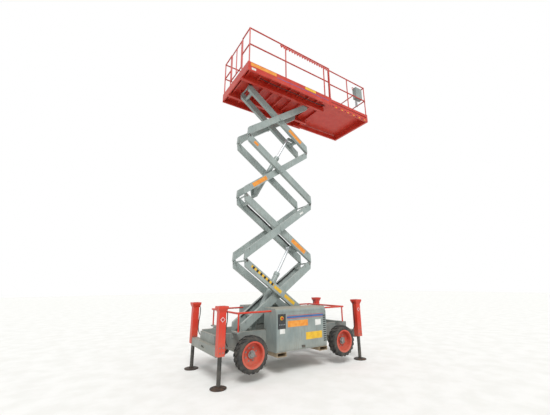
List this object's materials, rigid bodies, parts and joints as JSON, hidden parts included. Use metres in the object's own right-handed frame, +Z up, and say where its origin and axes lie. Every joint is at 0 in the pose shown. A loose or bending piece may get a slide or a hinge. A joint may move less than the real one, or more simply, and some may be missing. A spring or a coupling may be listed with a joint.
{
  "type": "scissor lift",
  "caption": "Self-propelled scissor lift with crossed-arm mast, outriggers, side cabinets and a railed platform with slide-out deck.",
  "frame": {"origin": "ground level under the outrigger pads, centre of the machine's outline", "axes": "+X towards the slide-out deck and the steered wheels, +Z up, +Y to the far side"},
  "size_m": [4.863, 1.816, 8.039],
  "materials": {
    "grey_paint": "satin",
    "red_paint": "satin",
    "box_paint": "satin, dusty",
    "tyre": "matt",
    "dusty_steel": "matt, dusty",
    "dark_steel": "satin",
    "chrome_rod": "polished"
  },
  "bodies": {
    "chassis": {"chassis_frame": "grey_paint", "left_cross_beam": "grey_paint", "right_cross_beam": "grey_paint", "outrigger_housing_near_left": "red_paint", "outrigger_housing_far_left": "red_paint", "outrigger_housing_near_right": "red_paint", "outrigger_housing_far_right": "red_paint", "near_cabinet": "box_paint", "far_cabinet": "box_paint", "engine_block": "dark_steel", "fork_pocket_left": "dusty_steel", "fork_pocket_right": "dusty_steel", "left_scissor_guard": "red_paint", "right_scissor_guard": "red_paint", "fixed_axle": "grey_paint", "steered_axle": "grey_paint"},
    "arm_1_inner": {"arm_1_inner": "grey_paint"},
    "arm_1_outer": {"arm_1_outer": "grey_paint"},
    "arm_2_inner": {"arm_2_inner": "grey_paint"},
    "arm_2_outer": {"arm_2_outer": "grey_paint"},
    "arm_3_inner": {"arm_3_inner": "grey_paint"},
    "arm_3_outer": {"arm_3_outer": "grey_paint"},
    "arm_4_inner": {"arm_4_inner": "grey_paint"},
    "arm_4_outer": {"arm_4_outer": "grey_paint"},
    "lower_barrel": {"lower_lift_barrel": "dark_steel"},
    "lower_rod": {"lower_lift_rod": "chrome_rod"},
    "upper_barrel": {"upper_lift_barrel": "dark_steel"},
    "upper_rod": {"upper_lift_rod": "chrome_rod"},
    "outrigger_near_left": {"outrigger_leg_near_left": "dark_steel", "outrigger_pad_near_left": "dusty_steel"},
    "wheel_near_left": {"rim_near_left": "red_paint", "tyre_near_left": "tyre"},
    "outrigger_far_left": {"outrigger_leg_far_left": "dark_steel", "outrigger_pad_far_left": "dusty_steel"},
    "wheel_far_left": {"rim_far_left": "red_paint", "tyre_far_left": "tyre"},
    "outrigger_near_right": {"outrigger_leg_near_right": "dark_steel", "outrigger_pad_near_right": "dusty_steel"},
    "wheel_near_right": {"rim_near_right": "red_paint", "tyre_near_right": "tyre"},
    "knuckle_near": {"steering_knuckle_near_right": "grey_paint"},
    "outrigger_far_right": {"outrigger_leg_far_right": "dark_steel", "outrigger_pad_far_right": "dusty_steel"},
    "wheel_far_right": {"rim_far_right": "red_paint", "tyre_far_right": "tyre"},
    "knuckle_far": {"steering_knuckle_far_right": "grey_paint"},
    "near_cover": {"near_cover": "box_paint"},
    "far_cover": {"far_cover": "box_paint"},
    "platform": {"platform_deck": "red_paint", "near_guard_rail": "red_paint", "far_guard_rail": "red_paint"},
    "gate": {"entry_gate": "red_paint"},
    "extension": {"extension_deck": "red_paint", "extension_guard_rail": "red_paint", "control_box": "box_paint"}
  },
  "joints": [
    {"name": "scissor_fold", "type": "hinge", "parent": "chassis", "child": "arm_1_inner", "pos_m": [-1.5835, 0, 0.702], "axis": [0, -1, 0], "range_deg": [-35.82, 8]},
    {"name": "stage_1_cross_pin", "type": "hinge", "parent": "arm_1_inner", "child": "arm_1_outer", "pos_m": [-0.67957, 0, 1.46049], "axis": [0, -1, 0], "range_deg": [-16.05, 71.69]},
    {"name": "stage_2_right_pin", "type": "hinge", "parent": "arm_1_inner", "child": "arm_2_inner", "pos_m": [0.22436, 0, 2.21898], "axis": [0, -1, 0], "range_deg": [-16.05, 71.69]},
    {"name": "stage_2_cross_pin", "type": "hinge", "parent": "arm_2_inner", "child": "arm_2_outer", "pos_m": [-0.67957, 0, 2.97747], "axis": [0, -1, 0], "range_deg": [-71.69, 16.05]},
    {"name": "stage_3_left_pin", "type": "hinge", "parent": "arm_2_inner", "child": "arm_3_inner", "pos_m": [-1.5835, 0, 3.73596], "axis": [0, -1, 0], "range_deg": [-71.69, 16.05]},
    {"name": "stage_3_cross_pin", "type": "hinge", "parent": "arm_3_inner", "child": "arm_3_outer", "pos_m": [-0.67957, 0, 4.49445], "axis": [0, -1, 0], "range_deg": [-16.05, 71.69]},
    {"name": "stage_4_right_pin", "type": "hinge", "parent": "arm_3_inner", "child": "arm_4_inner", "pos_m": [0.22436, 0, 5.25294], "axis": [0, -1, 0], "range_deg": [-16.05, 71.69]},
    {"name": "stage_4_cross_pin", "type": "hinge", "parent": "arm_4_inner", "child": "arm_4_outer", "pos_m": [-0.67957, 0, 6.01143], "axis": [0, -1, 0], "range_deg": [-71.69, 16.05]},
    {"name": "platform_pin", "type": "hinge", "parent": "arm_4_inner", "child": "platform", "pos_m": [-1.5835, 0, 6.76992], "axis": [0, -1, 0], "range_deg": [-35.87, 8.05]},
    {"name": "lower_barrel_pin", "type": "hinge", "parent": "arm_1_inner", "child": "lower_barrel", "pos_m": [-1.25463, 0, 0.79389], "axis": [0, -1, 0], "range_deg": [-7.26, 1.66]},
    {"name": "lower_rod_slide", "type": "slide", "parent": "lower_barrel", "child": "lower_rod", "axis": [0.4864, 0, 0.8737], "range_m": [-0.6354, 0.1442]},
    {"name": "upper_barrel_pin", "type": "hinge", "parent": "arm_3_inner", "child": "upper_barrel", "pos_m": [-1.25463, 0, 3.82785], "axis": [0, -1, 0], "range_deg": [-7.26, 1.66]},
    {"name": "upper_rod_slide", "type": "slide", "parent": "upper_barrel", "child": "upper_rod", "axis": [0.4864, 0, 0.8737], "range_m": [-0.6354, 0.1442]},
    {"name": "outrigger_near_left", "type": "slide", "parent": "chassis", "child": "outrigger_near_left", "axis": [0, 0, 1], "range_m": [-0.1, 0.42]},
    {"name": "outrigger_far_left", "type": "slide", "parent": "chassis", "child": "outrigger_far_left", "axis": [0, 0, 1], "range_m": [-0.1, 0.42]},
    {"name": "outrigger_near_right", "type": "slide", "parent": "chassis", "child": "outrigger_near_right", "axis": [0, 0, 1], "range_m": [-0.1, 0.42]},
    {"name": "outrigger_far_right", "type": "slide", "parent": "chassis", "child": "outrigger_far_right", "axis": [0, 0, 1], "range_m": [-0.1, 0.42]},
    {"name": "steer_near", "type": "hinge", "parent": "chassis", "child": "knuckle_near", "pos_m": [0.6345, -0.62, 0.471], "axis": [0, 0, 1], "range_deg": [-35, 35]},
    {"name": "steer_far", "type": "hinge", "parent": "chassis", "child": "knuckle_far", "pos_m": [0.6345, 0.62, 0.471], "axis": [0, 0, 1], "range_deg": [-35, 35]},
    {"name": "wheel_spin_near_left", "type": "hinge", "parent": "chassis", "child": "wheel_near_left", "pos_m": [-1.6835, -0.79, 0.471], "axis": [0, 1, 0], "continuous": true},
    {"name": "wheel_spin_far_left", "type": "hinge", "parent": "chassis", "child": "wheel_far_left", "pos_m": [-1.6835, 0.79, 0.471], "axis": [0, 1, 0], "continuous": true},
    {"name": "wheel_spin_near_right", "type": "hinge", "parent": "knuckle_near", "child": "wheel_near_right", "pos_m": [0.6345, -0.79, 0.471], "axis": [0, 1, 0], "continuous": true},
    {"name": "wheel_spin_far_right", "type": "hinge", "parent": "knuckle_far", "child": "wheel_far_right", "pos_m": [0.6345, 0.79, 0.471], "axis": [0, 1, 0], "continuous": true},
    {"name": "near_cover_hinge", "type": "hinge", "parent": "chassis", "child": "near_cover", "pos_m": [-0.5245, -0.851, 1.153], "axis": [-1, 0, 0], "range_deg": [0, 85]},
    {"name": "far_cover_hinge", "type": "hinge", "parent": "chassis", "child": "far_cover", "pos_m": [-0.5245, 0.851, 1.153], "axis": [1, 0, 0], "range_deg": [0, 85]},
    {"name": "gate_hinge", "type": "hinge", "parent": "platform", "child": "gate", "pos_m": [-1.8875, 0.36, 7.52], "axis": [0, 0, 1], "range_deg": [0, 90]},
    {"name": "extension_slide", "type": "slide", "parent": "platform", "child": "extension", "axis": [1, 0, 0], "range_m": [-1.5, 0]}
  ],
  "couplings": [
    {"joint": "stage_1_cross_pin", "follows": "scissor_fold", "ratio": -2},
    {"joint": "stage_2_right_pin", "follows": "scissor_fold", "ratio": -2},
    {"joint": "stage_2_cross_pin", "follows": "scissor_fold", "ratio": 2},
    {"joint": "stage_3_left_pin", "follows": "scissor_fold", "ratio": 2},
    {"joint": "stage_3_cross_pin", "follows": "scissor_fold", "ratio": -2},
    {"joint": "stage_4_right_pin", "follows": "scissor_fold", "ratio": -2},
    {"joint": "stage_4_cross_pin", "follows": "scissor_fold", "ratio": 2},
    {"joint": "platform_pin", "follows": "scissor_fold", "ratio": 1},
    {"joint": "lower_barrel_pin", "follows": "scissor_fold", "ratio": 0.2012},
    {"joint": "lower_rod_slide", "follows": "scissor_fold", "m_per_rad": 1.0116},
    {"joint": "upper_barrel_pin", "follows": "scissor_fold", "ratio": 0.2012},
    {"joint": "upper_rod_slide", "follows": "scissor_fold", "m_per_rad": 1.0116},
    {"joint": "steer_far", "follows": "steer_near", "ratio": 1}
  ]
}
